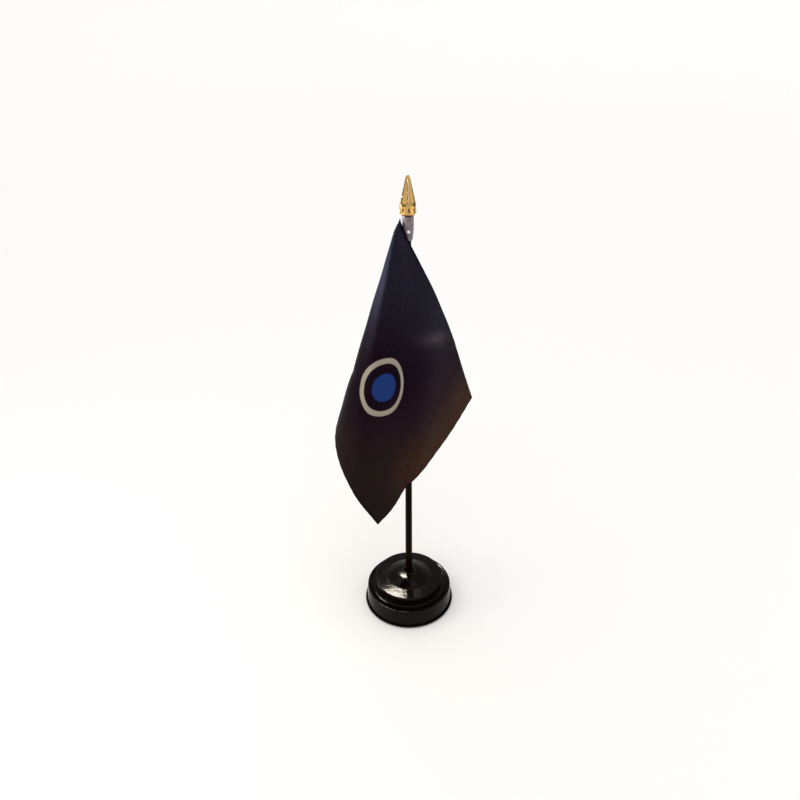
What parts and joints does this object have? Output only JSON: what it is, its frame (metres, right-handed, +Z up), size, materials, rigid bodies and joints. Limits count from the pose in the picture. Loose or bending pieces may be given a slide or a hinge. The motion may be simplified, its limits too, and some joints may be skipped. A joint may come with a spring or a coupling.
{
  "type": "desk flag stand",
  "caption": "Small desk flag on a weighted round black stand: slim pole with a gilt spear finial, and a dark satin flag hanging limp from its pole pocket.",
  "frame": {"origin": "centre of the base's underside, on the surface it stands on", "axes": "+Z up along the pole, +X to the right of the flag's printed face, +Y away from that face, to the back"},
  "size_m": [0.0801, 0.0647, 0.2626],
  "materials": {
    "black_plastic": "glossy black moulded plastic",
    "iron": "rough cast",
    "felt": "pressed black felt",
    "pole_plastic": "dark brown-black moulded plastic",
    "grey_metal": "dull grey metallised sleeve",
    "gilt": "gold metallised, glossy",
    "satin": "dark navy satin with a soft sheen",
    "thread": "dark polyester thread"
  },
  "bodies": {
    "base": {"base_shell": "black_plastic", "base_weight": "iron", "base_plate": "black_plastic", "base_pad": "felt"},
    "staff": {"pole": "pole_plastic", "finial_ferrule": "grey_metal", "finial_spear": "gilt"},
    "flag": {"flag_cloth": "satin", "flag_top_hem": "satin", "flag_bottom_hem": "satin", "flag_fly_hem": "satin", "flag_sleeve": "satin", "sleeve_seam_thread": "thread"}
  },
  "joints": [
    {"name": "pole_lift", "type": "slide", "parent": "base", "child": "staff", "axis": [0, 0, 1], "range_m": [0, 0.03]},
    {"name": "flag_swivel", "type": "hinge", "parent": "staff", "child": "flag", "pos_m": [0, 0, 0.18], "axis": [0, 0, 1], "continuous": true}
  ]
}
